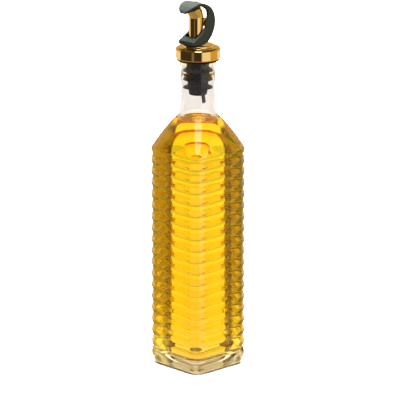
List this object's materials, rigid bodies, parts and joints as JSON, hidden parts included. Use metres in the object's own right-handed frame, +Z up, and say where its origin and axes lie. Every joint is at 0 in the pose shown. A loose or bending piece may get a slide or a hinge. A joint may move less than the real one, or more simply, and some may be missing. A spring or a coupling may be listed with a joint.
{
  "type": "oil cruet",
  "caption": "Tall square ribbed glass bottle of oil with a gold-plated pourer, a rubber stopper and a weighted flip lever that closes the spout.",
  "frame": {"origin": "middle of the bottle's underside", "axes": "+Z up along the bottle, the four faces look along X and Y, and the spout pours towards -Y"},
  "size_m": [0.0592, 0.0592, 0.2967],
  "materials": {
    "clear_glass": "polished",
    "golden_oil": "clear liquid",
    "black_rubber": "satin",
    "gold_plate": "polished",
    "dark_green_plastic": "satin"
  },
  "bodies": {
    "cruet": {"bottle": "clear_glass", "oil": "golden_oil", "stopper": "black_rubber", "vent_tube": "black_rubber", "collar": "gold_plate", "spout": "gold_plate"},
    "lever": {"flip_lever": "dark_green_plastic"}
  },
  "joints": [
    {"name": "flip_hinge", "type": "hinge", "parent": "cruet", "child": "lever", "pos_m": [0, 0.0055, 0.2785], "axis": [-1, 0, 0], "range_deg": [0, 50]}
  ]
}
